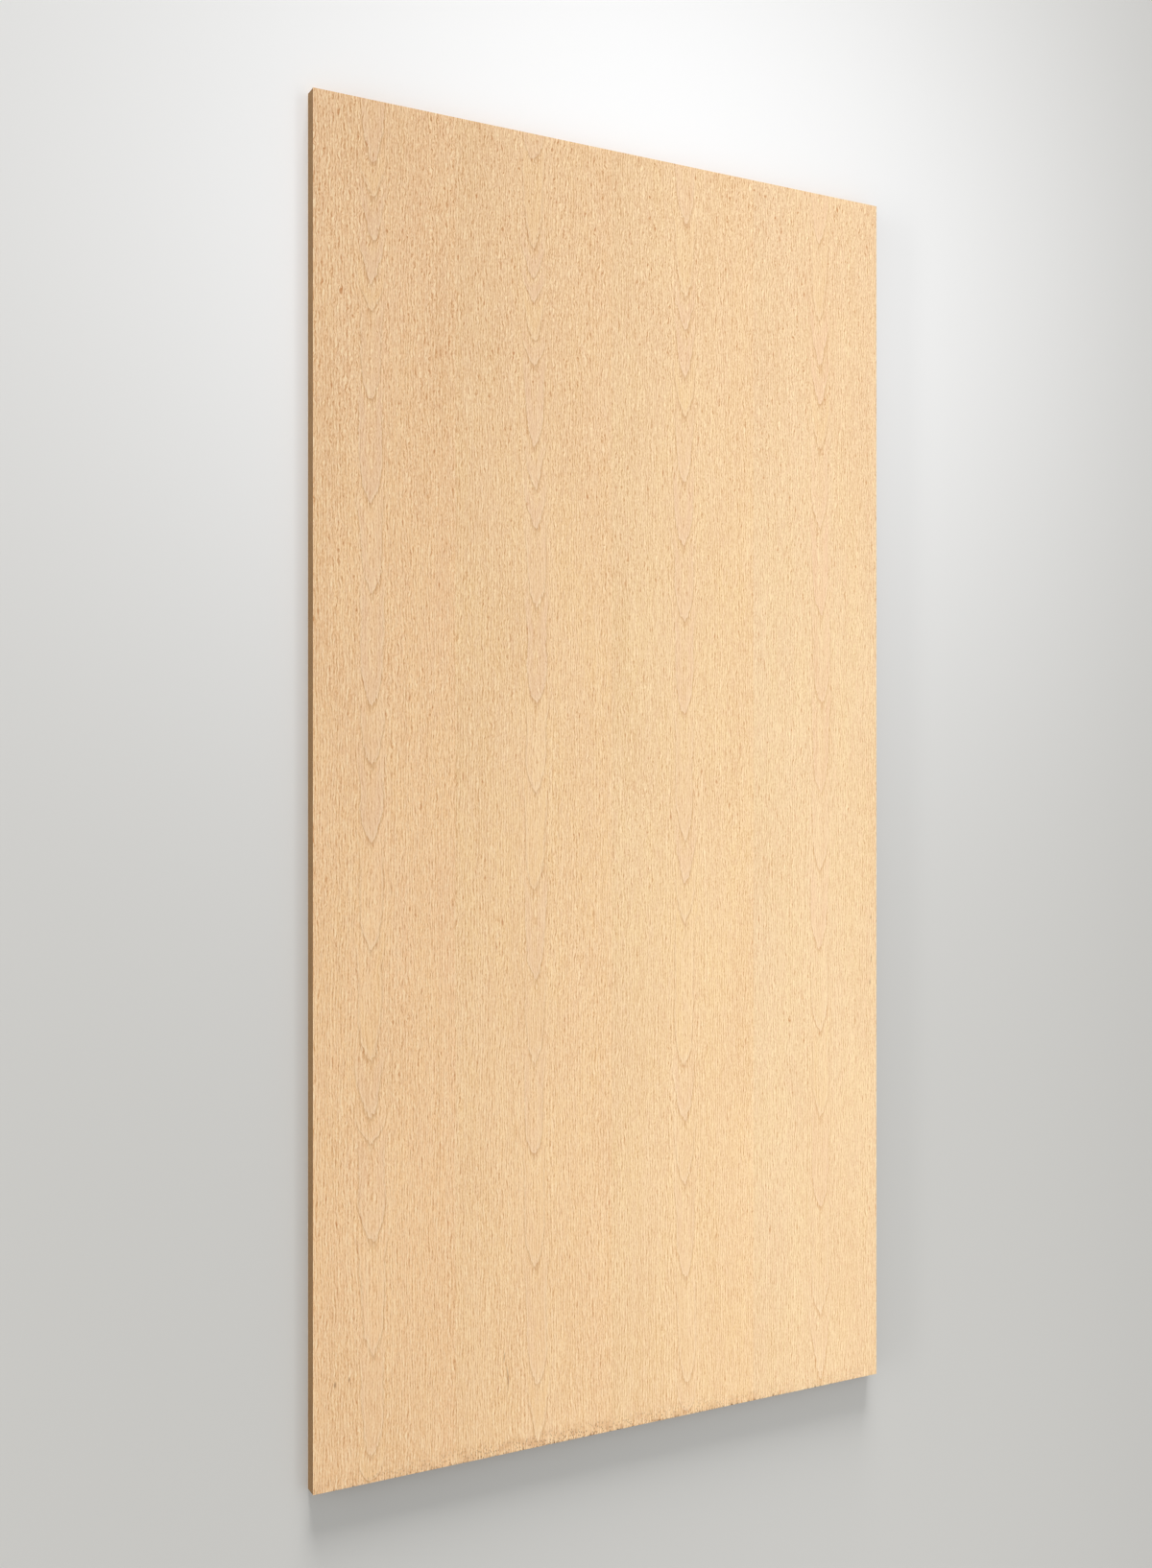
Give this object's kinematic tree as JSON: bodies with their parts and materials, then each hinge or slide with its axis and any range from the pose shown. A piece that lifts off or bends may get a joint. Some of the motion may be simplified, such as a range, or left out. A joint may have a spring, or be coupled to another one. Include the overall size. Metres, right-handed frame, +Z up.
{
  "type": "wood veneer sheet on fibreboard core",
  "caption": "Large flat rectangular board: a pale hardwood veneer face of spliced leaves pressed on a brown fibreboard core, with a plain veneer on the back.",
  "frame": {"origin": "middle of the underside, which is the back veneer's outer face", "axes": "+X across the grain, +Y along the grain and the sheet's length, +Z up through the thickness and out of the good face"},
  "size_m": [1.22, 2.44, 0.0292],
  "materials": {
    "face_veneer": "matte",
    "core": "matte",
    "back_veneer": "matte"
  },
  "bodies": {
    "root": {"core_board": "core", "face_leaf_1": "face_veneer", "face_leaf_2": "face_veneer", "face_leaf_3": "face_veneer", "face_leaf_4": "face_veneer", "back_veneer": "back_veneer"}
  },
  "joints": []
}
